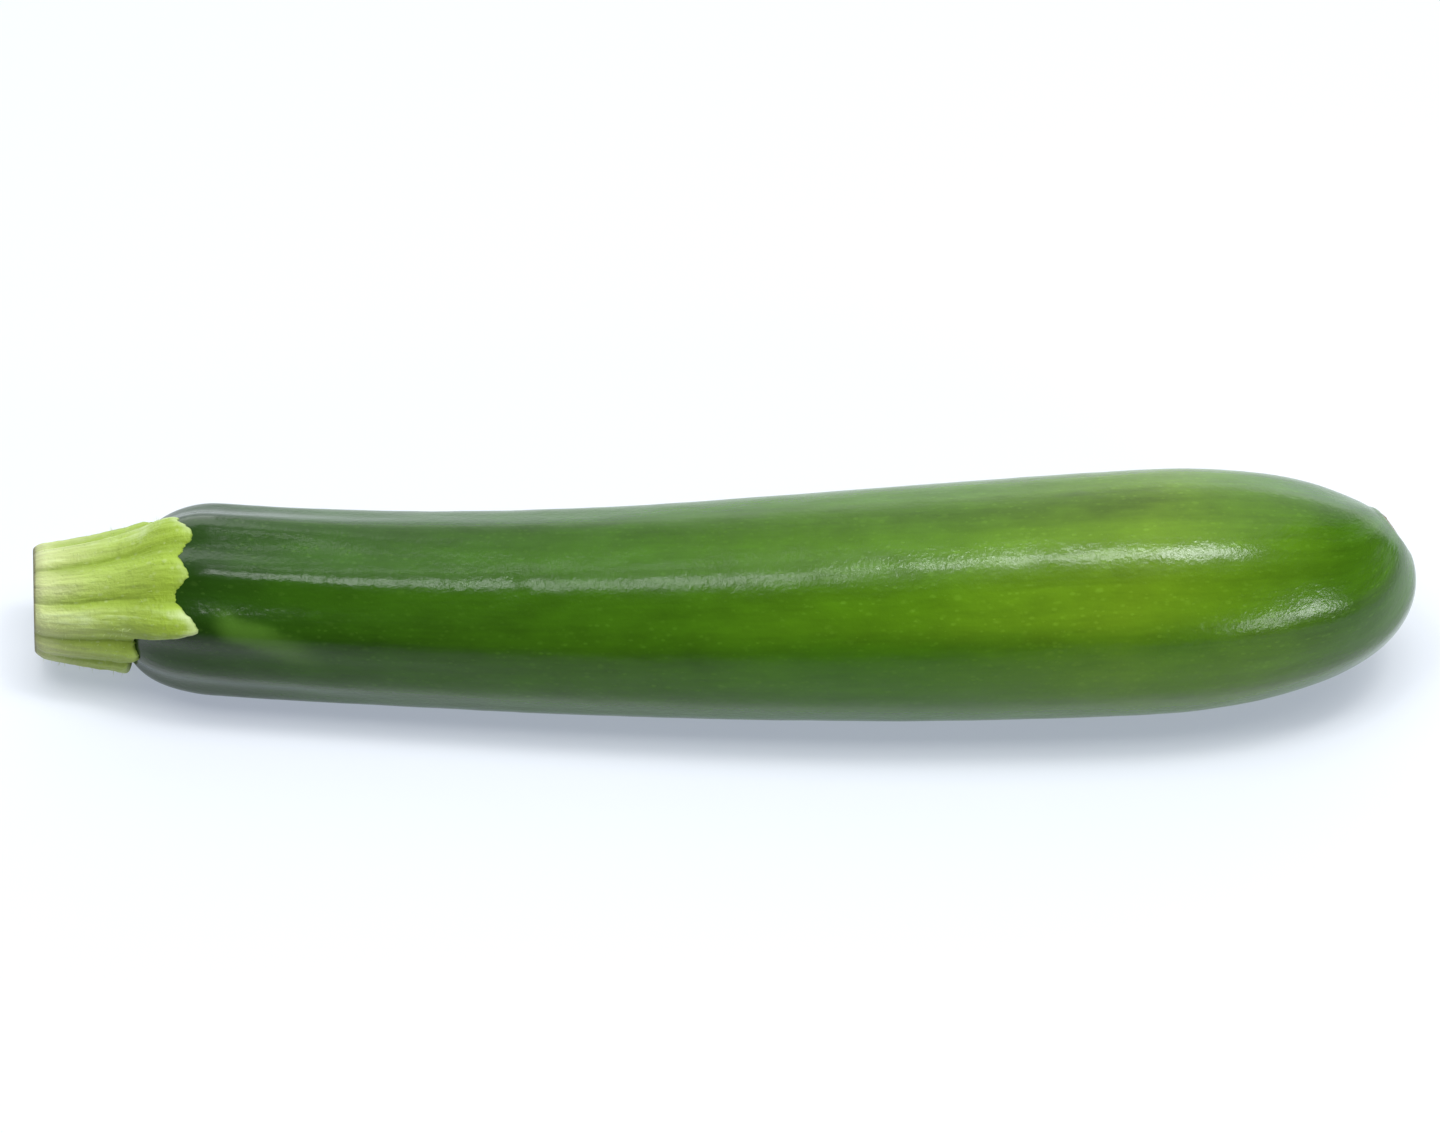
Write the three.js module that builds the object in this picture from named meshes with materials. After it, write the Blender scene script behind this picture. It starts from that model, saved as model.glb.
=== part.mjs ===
// A courgette, as picked: a slightly bent, club-shaped fruit with ten low ribs, and the fluted stub of
// its stem, whose foot spreads in lobes over the fruit's shoulder. It lies on its side.
// Millimetres, +Z up. X runs along the fruit, from the cut stem (-X) to the blossom end (+X).
// The origin is on the ground, under the middle of the whole courgette.
// Turns are measured round the fruit, from its top towards -Y.
import * as THREE from "three";
import { ParametricGeometry } from "three/addons/geometries/ParametricGeometry.js";

const { clamp, degToRad, euclideanModulo, lerp, radToDeg, smootherstep, smoothstep } = THREE.MathUtils;

// Where the stem is cut, where it meets the fruit, and where the dome of the blossom end would reach
// if it had no scar.
const X_CUT = -110;
const STEM_LENGTH = 14.5;
const X_SEAT = X_CUT + STEM_LENGTH;
const X_TIP = 111.2;

// The fruit's thickness: a slim neck that swells into the belly.
const NECK_RADIUS = 15;
const BELLY_RADIUS = 19.5;
const SWELL_FROM = -93;
const SWELL_TO = 88;

// Its round shoulder under the stem, and the blunt dome of the blossom end. Both are super-ellipses.
const SHOULDER = 16;
const SHOULDER_POWERS = [2.2, 2.9];
const DOME = 48;
const DOME_POWERS = [2.5, 2];

// The bend of the fruit's spine away from -Y, and how its underside lies on the ground.
const BEND = 5.3e-4; // mm of offset per square mm
const BEND_MIDDLE = 9;
const LIFT = 0.25; // how far the underside has risen, LIFT_SPAN away from the middle of its rest
const LIFT_SPAN = 80;
const REST_MIDDLE = 12;
const REST_DEPTH = 0.45; // the skin is pressed flat by this much where the fruit rests
const CENTRING = new THREE.Vector3(0.2, -1.55, 0); // brings the middle of the whole over the origin

// Ten ribs, every second one stronger.
const RIBS = 10;
const STRONG_RIB_TURN = degToRad(60);
const RIB_AT_NECK = 0.2;
const RIB_AT_BELLY = 0.06;
const RIB_AT_TIP = 0.12;

// The corky blossom scar, a small flat disc. It sits off the dome's middle, up and away from -Y.
const SCAR_RADIUS = 3.2;
const SCAR_RIM = 0.35;
const SCAR_SIDE = new THREE.Vector3(0, 0.766, 0.643);
const SCAR_TILT = degToRad(34);
const SCAR_SKIRT = 5.8; // the skin is drawn towards the scar's plane this far from its middle
const SCAR_SUNK = 0.6; // how far its plane lies under the end of the leaning dome
const TIP_LEAN = degToRad(29);
const TIP_CENTRE_DEPTH = 23; // the skin leans round a point this far inside the tip,
const TIP_SQUASH = 0.68; // in a space squashed along X, where the dome is round

// The stem: round ridges between narrow furrows, and a foot that flares out over the shoulder.
const STEM_RADIUS = 9.1;
const FOOT_RADIUS = 12.4;
const FLARE_FROM = 3; // from the cut
const FLARE_TO = 16;
const STRONG_RIDGE = 1.5;
const WEAK_RIDGE = 0.9;
const RIDGE_AT_CUT = 0.6; // share of the height that a ridge has on the foot
const STEM_TWIST = degToRad(5);
const RIM_ROUNDING = { along: 2.5, inwards: 1.1 };
const CUT_DISH = 0.5;
const CUT_SLANT = degToRad(13.5); // the knife took more off one side
const CUT_SLANT_TURN = degToRad(70);
const STEM_DROP = new THREE.Vector3(0, -2.05, -1.9); // of the cut, off the line of the spine
const STEM_DROP_LENGTH = 28; // the drop starts on the shoulder

// The lobes of its foot.
const LOBE_THICKNESS = 1.1;
const THINNEST_LOBE = 0.4;
const LOBE_BLEND = 0.5;
const SEAT_GAP = 0.3; // between the stem's underside and the fruit's skin

// How far the edge of the foot reaches over the shoulder: [turn in degrees, mm past the seat].
const FOOT_EDGE = [
  [-84, 11], [-66, 5.5], [-48, 3.2], [-31, 5.6], [-14, 10.6], [-1, 12.4], [14, 10.6], [26, 12.4],
  [41, 10.6], [60, 14.8], [77, 3.7], [96, 4.4], [114, 2.2], [132, 2], [150, 1.8], [168, 5.2],
  [186, 3], [204, 6], [222, 4.6], [240, 8], [258, 6.5], [276, 11],
];
const LONGEST_LOBE = Math.max(...FOOT_EDGE.map(([, reach]) => reach));

// Mesh fineness. Rings are counted from the stem end.
const FRUIT_SIDES = 60;
const SHOULDER_RINGS = 8;
const BODY_RINGS = 18;
const DOME_RINGS = 13;
const SCAR_RINGS = 3;
const STEM_SIDES = 120;
const FACE_RINGS = 3;
const FLANK_RINGS = 8;
const LOBE_RINGS = 6;
const SEAT_RINGS = 5;

const ALONG = new THREE.Vector3(1, 0, 0);
const QUARTER_TURN = Math.PI / 2;

// ---- the spine -------------------------------------------------------------------------------

function plainRadius(x) {
  return lerp(NECK_RADIUS, BELLY_RADIUS, smootherstep(x, SWELL_FROM, SWELL_TO));
}

function spine(x) {
  const rise = LIFT * ((x - REST_MIDDLE) / LIFT_SPAN) ** 2 - REST_DEPTH;
  return new THREE.Vector3(x, BEND * (x - BEND_MIDDLE) ** 2, plainRadius(x) + rise);
}

// The point at a turn and a distance from the spine, in the plane square to the spine at x.
function aroundSpine(x, turn, distance) {
  const step = 0.01;
  const along = spine(x + step).sub(spine(x - step)).normalize();
  const far = new THREE.Vector3(-along.y, along.x, 0).normalize();
  const up = along.clone().cross(far);
  const drop = 1 - smoothstep(x - X_CUT, 0, STEM_DROP_LENGTH);
  return spine(x)
    .addScaledVector(STEM_DROP, drop)
    .addScaledVector(far, -Math.sin(turn) * distance)
    .addScaledVector(up, Math.cos(turn) * distance);
}

// ---- the fruit -------------------------------------------------------------------------------

function ribRelief(x, turn) {
  const fromNeck = lerp(RIB_AT_NECK, RIB_AT_BELLY, smootherstep(x, X_SEAT, 45));
  const height = lerp(fromNeck, RIB_AT_TIP, smootherstep(x, 70, X_TIP));
  const phase = turn - STRONG_RIB_TURN;
  return height * (Math.cos(RIBS * phase) + Math.cos((RIBS / 2) * phase));
}

// A super-ellipse's height at t: 1 in its middle, where t is 0, and 0 at its end, where t is 1.
function superEllipse(t, [power, root]) {
  return Math.max(0, 1 - clamp(t, 0, 1) ** power) ** (1 / root);
}

function skinRadius(x, turn) {
  const shoulder = superEllipse((X_SEAT + SHOULDER - x) / SHOULDER, SHOULDER_POWERS);
  const dome = superEllipse((x - X_TIP + DOME) / DOME, DOME_POWERS);
  return (plainRadius(x) + ribRelief(x, turn)) * shoulder * dome;
}

// The lean of the blossom end: the skin slides round the dome, fully at the scar and not at all a
// quarter turn away, so the ribs meet at the scar and the dome keeps its shape.
const tipCentre = spine(X_TIP - TIP_CENTRE_DEPTH);
const leanAxis = ALONG.clone().cross(SCAR_SIDE).normalize();

function leanTip(point) {
  const out = point.clone().sub(tipCentre);
  out.x *= TIP_SQUASH;
  const share = 1 - smootherstep(out.angleTo(ALONG), 0, QUARTER_TURN);
  out.applyAxisAngle(leanAxis, TIP_LEAN * share);
  out.x /= TIP_SQUASH;
  return out.add(tipCentre);
}

// The skin near the scar moves onto the scar's plane.
const scarFacing = ALONG.clone().applyAxisAngle(leanAxis, SCAR_TILT);
const scarCentre = leanTip(spine(X_TIP)).addScaledVector(scarFacing, -SCAR_SUNK);

function drawToScar(point, distance) {
  const share = 1 - smootherstep(distance, SCAR_RADIUS, SCAR_SKIRT);
  const off = point.clone().sub(scarCentre).dot(scarFacing);
  return point.addScaledVector(scarFacing, -off * share);
}

// Where the dome has narrowed to the scar's edge, as a share of the dome's length.
const scarShare = (1 - (SCAR_RADIUS / BELLY_RADIUS) ** DOME_POWERS[1]) ** (1 / DOME_POWERS[0]);

function fruitPoint(u, v, target) {
  const turn = u * 2 * Math.PI;
  const ring = v * (SHOULDER_RINGS + BODY_RINGS + DOME_RINGS + SCAR_RINGS);
  const bodyRing = ring - SHOULDER_RINGS;
  const domeRing = bodyRing - BODY_RINGS;
  const scarRing = domeRing - DOME_RINGS;
  let x = X_TIP - DOME + DOME * scarShare;
  if (bodyRing <= 0) {
    x = X_SEAT + SHOULDER * (1 - Math.cos((ring / SHOULDER_RINGS) * QUARTER_TURN));
  } else if (domeRing <= 0) {
    x = lerp(X_SEAT + SHOULDER, X_TIP - DOME, bodyRing / BODY_RINGS);
  } else if (scarRing <= 0) {
    x = X_TIP - DOME + DOME * Math.sin((domeRing / DOME_RINGS) * Math.asin(scarShare));
  }
  const inwards = Math.max(0, scarRing / SCAR_RINGS);
  const distance = skinRadius(x, turn) * (1 - inwards);
  let point = leanTip(aroundSpine(x, turn, distance));
  if (domeRing > 0) {
    const rim = SCAR_RIM * Math.sin(inwards * 2 * Math.PI) ** 2 * (1 - inwards);
    point = drawToScar(point, distance).addScaledVector(scarFacing, rim);
  }
  target.copy(point).setZ(Math.max(0, point.z));
}

// ---- the stem --------------------------------------------------------------------------------

// X of the foot's edge, eased from one listed turn to the next.
function footEdge(turn) {
  const firstTurn = FOOT_EDGE[0][0];
  const degrees = euclideanModulo(radToDeg(turn) - firstTurn, 360) + firstTurn;
  const next = FOOT_EDGE.findIndex(([at]) => at > degrees);
  const [fromTurn, fromReach] = FOOT_EDGE[next - 1];
  const [toTurn, toReach] = FOOT_EDGE[next];
  return X_SEAT + lerp(fromReach, toReach, smoothstep(degrees, fromTurn, toTurn));
}

// How far the surface lies under the strong crests. The furrows are all as deep as one another, and
// their bottoms are sharper than the crests between them.
function furrowDepth(x, turn) {
  const twist = STEM_TWIST * clamp((X_SEAT - x) / STEM_LENGTH, 0, 1);
  const wave = Math.cos((RIBS / 2) * (turn - STRONG_RIB_TURN - twist));
  const ridge = wave > 0 ? STRONG_RIDGE : WEAK_RIDGE;
  return STRONG_RIDGE - ridge * Math.abs(wave) ** 0.8;
}

function flankRadius(x, turn, fromCut) {
  const flare = smootherstep(x - X_CUT, FLARE_FROM, FLARE_TO);
  const crest = lerp(STEM_RADIUS, FOOT_RADIUS, flare);
  const toRim = clamp(1 - fromCut / RIM_ROUNDING.along, 0, 1);
  const rounding = RIM_ROUNDING.inwards * (1 - Math.sqrt(1 - toRim ** 2));
  return crest - rounding - lerp(RIDGE_AT_CUT, 1, flare) * furrowDepth(x, turn);
}

// The slanted plane of the cut.
function cutX(turn, distance) {
  return X_CUT + Math.tan(CUT_SLANT) * Math.cos(turn - CUT_SLANT_TURN) * distance;
}

// The larger of two distances, with the corner between them rounded over.
function blendedMax(a, b, rounding) {
  return (a + b + Math.hypot(a - b, rounding)) / 2;
}

// A lobe lies on the shoulder and thins towards its edge. The long lobes are the thick ones.
function lobeRadius(x, turn, edge) {
  const thick = LOBE_THICKNESS * lerp(0.3, 1, (edge - X_SEAT) / LONGEST_LOBE);
  const towardsEdge = clamp((x - X_SEAT) / (edge - X_SEAT), 0, 1);
  const thickness = thick * Math.sqrt(1 - towardsEdge ** 4) - 0.3 * furrowDepth(x, turn);
  const lobe = skinRadius(x, turn) + SEAT_GAP + Math.max(THINNEST_LOBE, thickness);
  return blendedMax(flankRadius(x, turn, x - X_CUT), lobe, LOBE_BLEND);
}

// A point under the foot, a gap away from the fruit's skin. At share 0 it is at the edge of the foot,
// and at share 1 on the spine.
function seatPoint(share, turn, edge) {
  const onSkin = (angle) => {
    const x = lerp(edge, X_SEAT, Math.cos(angle));
    return new THREE.Vector2(x, skinRadius(x, turn));
  };
  const angle = QUARTER_TURN * (1 - share);
  const along = onSkin(angle + 0.001).sub(onSkin(Math.max(0, angle - 0.001)));
  const off = new THREE.Vector2(-along.y, along.x).normalize();
  const point = onSkin(angle).addScaledVector(off, SEAT_GAP);
  return share < 1 ? aroundSpine(point.x, turn, point.y) : aroundSpine(X_SEAT - SEAT_GAP, turn, 0);
}

function stemPoint(u, v, target) {
  const turn = u * 2 * Math.PI;
  const edge = footEdge(turn);
  const ring = v * (FACE_RINGS + FLANK_RINGS + LOBE_RINGS + SEAT_RINGS);
  const flankRing = ring - FACE_RINGS;
  const lobeRing = flankRing - FLANK_RINGS;
  const seatRing = lobeRing - LOBE_RINGS;
  const rim = flankRadius(X_CUT, turn, 0);
  if (flankRing <= 0) {
    const outwards = ring / FACE_RINGS;
    const sunk = CUT_DISH * (1 - outwards ** 2);
    target.copy(aroundSpine(cutX(turn, outwards * rim) + sunk, turn, outwards * rim));
  } else if (lobeRing <= 0) {
    const x = lerp(cutX(turn, rim), X_SEAT, (flankRing / FLANK_RINGS) ** 1.3);
    target.copy(aroundSpine(x, turn, flankRadius(x, turn, x - cutX(turn, rim))));
  } else if (seatRing <= 0) {
    const x = lerp(X_SEAT, edge, lobeRing / LOBE_RINGS);
    target.copy(aroundSpine(x, turn, lobeRadius(x, turn, edge)));
  } else {
    target.copy(seatPoint(seatRing / SEAT_RINGS, turn, edge));
  }
}

// ---- the courgette ---------------------------------------------------------------------------

function piece(name, surface, sides, rings, finish) {
  const mesh = new THREE.Mesh(
    new ParametricGeometry(surface, sides, rings),
    new THREE.MeshStandardMaterial(finish),
  );
  mesh.name = name;
  return mesh;
}

const courgette = new THREE.Group();
courgette.position.copy(CENTRING);

const fruitRings = SHOULDER_RINGS + BODY_RINGS + DOME_RINGS + SCAR_RINGS;
const skin = { color: 0x3f7012, roughness: 0.3, metalness: 0 };
courgette.add(piece("fruit", fruitPoint, FRUIT_SIDES, fruitRings, skin));

const stemRings = FACE_RINGS + FLANK_RINGS + LOBE_RINGS + SEAT_RINGS;
const stalk = { color: 0xa3b85c, roughness: 0.7, metalness: 0 };
courgette.add(piece("stem", stemPoint, STEM_SIDES, stemRings, stalk));

export default courgette;
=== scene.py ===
import math

import bpy
from mathutils import Matrix, Vector


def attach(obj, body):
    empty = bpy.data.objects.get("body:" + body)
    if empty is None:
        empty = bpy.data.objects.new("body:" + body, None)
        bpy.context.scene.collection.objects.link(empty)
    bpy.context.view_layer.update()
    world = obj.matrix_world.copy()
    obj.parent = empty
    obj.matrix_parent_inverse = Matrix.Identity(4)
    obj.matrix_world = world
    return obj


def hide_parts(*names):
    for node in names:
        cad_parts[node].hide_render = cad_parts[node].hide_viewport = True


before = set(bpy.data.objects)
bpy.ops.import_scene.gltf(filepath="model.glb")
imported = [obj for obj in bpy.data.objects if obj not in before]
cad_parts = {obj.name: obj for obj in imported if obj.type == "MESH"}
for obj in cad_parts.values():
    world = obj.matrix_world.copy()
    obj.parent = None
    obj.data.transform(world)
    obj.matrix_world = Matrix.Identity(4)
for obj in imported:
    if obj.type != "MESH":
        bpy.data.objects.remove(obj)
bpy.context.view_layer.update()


# ---- the fruit -------------------------------------------------------------------------------
# One berry, grown from the stem end (-X) to the flower's end (+X): firm flesh under a thin, waxy, dark
# green skin in ten low ribs, which pales towards the belly and is freckled all over. A small corky scar
# marks where the flower fell off. The skin is flattened a little where the fruit lies on the ground.

# The same rule gives the fruit and the shoulder that the stem's foot lies on. Lengths are in
# millimetres, and turns are measured from the top towards -Y.
MM = 0.001
TAU = 2 * math.pi
QUARTER_TURN = math.pi / 2
X_CUT = -110
STEM_LENGTH = 14.5
X_SEAT = X_CUT + STEM_LENGTH
X_TIP = 111.2
CENTRING = (0.2, -1.55, 0)

# The radius swells from the neck to the belly, and powers round off both ends.
SWELL = (-93, 88)
SHOULDER_POWERS = (2.2, 2.9)
DOME_POWERS = (2.5, 2)

# Both ends of the spine bend towards +Y, and rise a little from where the fruit rests. The stem's end
# sags towards -Y and the ground.
BEND_MIDDLE = 9
LIFT = 0.25
LIFT_SPAN = 80
REST_MIDDLE = 12
REST_DEPTH = 0.45
STEM_DROP = (0, -2.05, -1.9)
STEM_DROP_LENGTH = 28

# Every second rib is stronger. The ribs twist a little along the fruit, and change depth over these
# stretches of it.
RIBS = 10
STRONG_RIB_TURN = math.radians(60)
RIB_TWIST = (-60, 50)
SHOULDER_TO_NECK = (X_SEAT + 12, -40)
NECK_TO_BELLY = (X_SEAT, 45)
BELLY_TO_TIP = (70, X_TIP)

FORM_SIZES = {
    "Neck radius": 15,
    "Belly radius": 19.5,
    "Shoulder length": 16,
    "Dome length": 48,
    "Bend": 5.3e-4,
    "Rib at shoulder": 0.38,
    "Rib at neck": 0.2,
    "Rib at belly": 0.085,
    "Rib at tip": 0.12,
    "Rib twist": math.radians(5),
}


def add_node(tree, kind, feeds=(), **settings):
    """Adds a node, sets it up, and feeds its inputs by number or by name."""
    node = tree.nodes.new(kind)
    for name, value in settings.items():
        setattr(node, name, value)
    pairs = feeds.items() if isinstance(feeds, dict) else enumerate(feeds)
    for key, value in pairs:
        if isinstance(value, Field):
            tree.links.new(value.socket, node.inputs[key])
        else:
            node.inputs[key].default_value = value
    return node


class Field:
    """A number that varies over a surface. Arithmetic on it adds nodes to its tree."""

    def __init__(self, tree, socket):
        self.tree = tree
        self.socket = socket

    def math(self, operation, *others):
        node = add_node(self.tree, "ShaderNodeMath", (self, *others), operation=operation)
        return Field(self.tree, node.outputs[0])

    def __add__(self, other):
        return self.math("ADD", other)

    def __mul__(self, other):
        return self.math("MULTIPLY", other)

    def __sub__(self, other):
        return self.math("SUBTRACT", other)

    def __rsub__(self, other):
        return self.math("MULTIPLY_ADD", -1, other)

    def __truediv__(self, other):
        return self.math("DIVIDE", other)

    def __pow__(self, other):
        return self.math("POWER", other)

    def clamped(self):
        return self.math("MAXIMUM", 0).math("MINIMUM", 1)


class Direction(Field):
    """A vector that varies over a surface."""

    def vector_math(self, operation, feeds):
        node = add_node(self.tree, "ShaderNodeVectorMath", {0: self, **feeds}, operation=operation)
        return node.outputs

    def __add__(self, other):
        return Direction(self.tree, self.vector_math("ADD", {1: other})[0])

    def __sub__(self, other):
        return Direction(self.tree, self.vector_math("SUBTRACT", {1: other})[0])

    def __mul__(self, other):
        if isinstance(other, (tuple, Direction)):
            return Direction(self.tree, self.vector_math("MULTIPLY", {1: other})[0])
        return Direction(self.tree, self.vector_math("SCALE", {3: other})[0])

    def cross(self, other):
        return Direction(self.tree, self.vector_math("CROSS_PRODUCT", {1: other})[0])

    def dot(self, other):
        return Field(self.tree, self.vector_math("DOT_PRODUCT", {1: other})[1])

    def length(self):
        return Field(self.tree, self.vector_math("LENGTH", {})[1])

    def unit(self):
        return Direction(self.tree, self.vector_math("NORMALIZE", {})[0])

    def turned(self, axis, angle):
        feeds = {"Vector": self, "Axis": axis, "Angle": angle}
        node = add_node(self.tree, "ShaderNodeVectorRotate", feeds, rotation_type="AXIS_ANGLE")
        return Direction(self.tree, node.outputs[0])

    def parts(self):
        node = add_node(self.tree, "ShaderNodeSeparateXYZ", [self])
        return [Field(self.tree, output) for output in node.outputs]


def steady(tree, value):
    """A field with the same value everywhere."""
    node = tree.nodes.new("ShaderNodeValue")
    node.outputs[0].default_value = value
    return Field(tree, node.outputs[0])


def vector(x, y, z):
    """A direction from its parts, of which at least one varies over the surface."""
    tree = next(part.tree for part in (x, y, z) if isinstance(part, Field))
    return Direction(tree, add_node(tree, "ShaderNodeCombineXYZ", (x, y, z)).outputs[0])


def ramp(field, start, end, shape="SMOOTHERSTEP"):
    """0 up to start, 1 from end on, and eased between them."""
    feeds = {"Value": field, "From Min": start, "From Max": end}
    node = add_node(field.tree, "ShaderNodeMapRange", feeds, interpolation_type=shape)
    return Field(field.tree, node.outputs[0])


def between(low, high, share):
    """Low where the share is 0, and high where it is 1."""
    return share * (high - low) + low


def noise(place, scale, detail=2, roughness=0.5):
    """Cloudy noise round 0, mostly between -0.5 and 0.5."""
    feeds = {"Vector": place, "Scale": scale, "Detail": detail, "Roughness": roughness}
    node = add_node(place.tree, "ShaderNodeTexNoise", feeds)
    return Field(place.tree, node.outputs[0]) - 0.5


def super_ellipse(t, powers):
    """1 up to t = 0, and rounded off to 0 at t = 1."""
    power, root = powers
    return (1 - t.clamped() ** power).math("MAXIMUM", 0) ** (1 / root)


class Form:
    """The rule of the fruit's shape, in one tree. Sizes are the tree's named inputs."""

    def __init__(self, sizes):
        self.sizes = sizes

    def plain_radius(self, x):
        swell = ramp(x, *SWELL)
        return between(self.sizes["Neck radius"], self.sizes["Belly radius"], swell)

    def spine(self, x):
        aside = self.sizes["Bend"] * (x - BEND_MIDDLE) * (x - BEND_MIDDLE)
        from_rest = (x - REST_MIDDLE) * (1 / LIFT_SPAN)
        rise = from_rest * from_rest * LIFT - REST_DEPTH
        return vector(x, aside, self.plain_radius(x) + rise)

    def around_spine(self, x, turn, distance):
        """The point at a turn and a distance from the spine, square to it."""
        step = 0.5
        along = (self.spine(x + step) - self.spine(x - step)).unit()
        ahead, aside, _ = along.parts()
        far = vector(aside * -1, ahead, 0).unit()
        up = along.cross(far)
        dropped = 1 - ramp(x, X_CUT, X_CUT + STEM_DROP_LENGTH, "SMOOTHSTEP")
        drop = vector(*(dropped * part for part in STEM_DROP))
        out = up * (turn.math("COSINE") * distance) - far * (turn.math("SINE") * distance)
        return self.spine(x) + drop + out

    def rib_wave(self, x, turn):
        phase = turn - STRONG_RIB_TURN - ramp(x, *RIB_TWIST) * self.sizes["Rib twist"]
        return (phase * RIBS).math("COSINE") + (phase * (RIBS / 2)).math("COSINE")

    def skin_radius(self, x, turn):
        sizes = self.sizes
        rib = between(sizes["Rib at shoulder"], sizes["Rib at neck"], ramp(x, *SHOULDER_TO_NECK))
        rib = between(rib, sizes["Rib at belly"], ramp(x, *NECK_TO_BELLY))
        rib = between(rib, sizes["Rib at tip"], ramp(x, *BELLY_TO_TIP)) * self.rib_wave(x, turn)
        shoulder = super_ellipse(1 - (x - X_SEAT) / sizes["Shoulder length"], SHOULDER_POWERS)
        dome = super_ellipse((x - X_TIP) / sizes["Dome length"] + 1, DOME_POWERS)
        return (self.plain_radius(x) + rib) * shoulder * dome


def grid_start(tree, sides, rings):
    """A flat sheet to bend into a skin, and its places: turn round the spine, and ring along it."""
    counts = {"Size X": 1, "Size Y": 1, "Vertices X": rings + 1, "Vertices Y": sides + 1}
    sheet = add_node(tree, "GeometryNodeMeshGrid", counts)
    place = Direction(tree, add_node(tree, "GeometryNodeInputPosition").outputs[0])
    across, up, _ = place.parts()
    return Field(tree, sheet.outputs["Mesh"]), (0.5 - up) * TAU, (across + 0.5) * rings


def new_tree(name, sizes):
    """A geometry tree with named inputs for sizes."""
    tree = bpy.data.node_groups.new(name, "GeometryNodeTree")
    tree.is_modifier = True
    tree.interface.new_socket("Geometry", in_out="OUTPUT", socket_type="NodeSocketGeometry")
    for label in sizes:
        tree.interface.new_socket(label, in_out="INPUT", socket_type="NodeSocketFloat")
    group_input = tree.nodes.new("NodeGroupInput")
    return tree, {label: Field(tree, group_input.outputs[label]) for label in sizes}


WELD_DISTANCE = 0.002 * MM


def finish_skin(tree, sheet, marks, place, material):
    """Stores the marks that the material reads, bends the sheet, closes its seam and its poles."""
    for name, value in marks.items():
        kind = "FLOAT_VECTOR" if isinstance(value, Direction) else "FLOAT"
        feeds = {"Geometry": sheet, "Name": name, "Value": value}
        store = add_node(tree, "GeometryNodeStoreNamedAttribute", feeds, data_type=kind, domain="POINT")
        sheet = Field(tree, store.outputs[0])
    centred = (place + CENTRING) * MM
    bent = add_node(tree, "GeometryNodeSetPosition", {"Geometry": sheet, "Position": centred})
    feeds = {"Geometry": Field(tree, bent.outputs[0]), "Distance": WELD_DISTANCE}
    merged = add_node(tree, "GeometryNodeMergeByDistance", feeds)
    smooth = add_node(tree, "GeometryNodeSetShadeSmooth", [Field(tree, merged.outputs[0])])
    end_tree(tree, Field(tree, smooth.outputs[0]), material)


def end_tree(tree, shape, material):
    """Makes the shape real faces in one material, and puts them out."""
    real = add_node(tree, "GeometryNodeRealizeInstances", [shape])
    finish = add_node(tree, "GeometryNodeSetMaterial", [Field(tree, real.outputs[0])])
    finish.inputs["Material"].default_value = material
    output = tree.nodes.new("NodeGroupOutput")
    tree.links.new(finish.outputs[0], output.inputs[0])


def grow(name, tree, sizes, materials):
    """Runs a tree and keeps what it makes as a plain mesh, with no modifier left on it."""
    piece = bpy.data.objects.new(name, bpy.data.meshes.new(name))
    bpy.context.scene.collection.objects.link(piece)
    modifier = piece.modifiers.new(name, "NODES")
    modifier.node_group = tree
    for socket in tree.interface.items_tree:
        if socket.in_out == "INPUT":
            modifier[socket.identifier] = float(sizes[socket.name])
    bpy.context.view_layer.update()
    evaluated = piece.evaluated_get(bpy.context.evaluated_depsgraph_get())
    mesh = bpy.data.meshes.new_from_object(evaluated)
    piece.modifiers.clear()
    piece.data = mesh
    mesh.name = name
    mesh.materials.clear()
    for material in materials:
        mesh.materials.append(material)
    return piece


# The blossom end: its skin slides round the dome, fully at the scar and not at all a quarter turn
# away, so the ribs meet at the scar and the dome keeps its shape. The scar is a rough, sunken plane
# with a raised rim, and the skirt of skin round it runs on into the dome.
SCAR_RIM = 0.35
SCAR_CORK = 0.5
SCAR_SIDE = Vector((0, 0.766, 0.643))
SCAR_TILT = math.radians(34)
SCAR_SKIRT = 5.8
SCAR_SUNK = 0.6
TIP_LEAN = math.radians(29)
TIP_CENTRE_DEPTH = 23
TIP_SQUASH = 0.68
ALONG = Vector((1, 0, 0))
LEAN_AXIS = ALONG.cross(SCAR_SIDE).normalized()
SCAR_FACING = Matrix.Rotation(SCAR_TILT, 3, LEAN_AXIS) @ ALONG
FAR_FROM_SCAR = 50

FRUIT_SIDES = 288
SHOULDER_RINGS = 44
BODY_RINGS = 116
DOME_RINGS = 76
SCAR_RINGS = 20
FRUIT_SIZES = {**FORM_SIZES, "Scar radius": 3.2, "Waviness": 0.16}


def lean_tip(form, point):
    """The point slid round the dome's own centre, towards the scar's side."""
    centre = form.spine(steady(point.tree, X_TIP - TIP_CENTRE_DEPTH))
    out = (point - centre) * (TIP_SQUASH, 1, 1)
    x, y, z = out.parts()
    from_axis = vector(0, y, z).length().math("ARCTAN2", x)
    share = 1 - ramp(from_axis, 0, QUARTER_TURN)
    return out.turned(tuple(LEAN_AXIS), share * TIP_LEAN) * (1 / TIP_SQUASH, 1, 1) + centre


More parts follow.
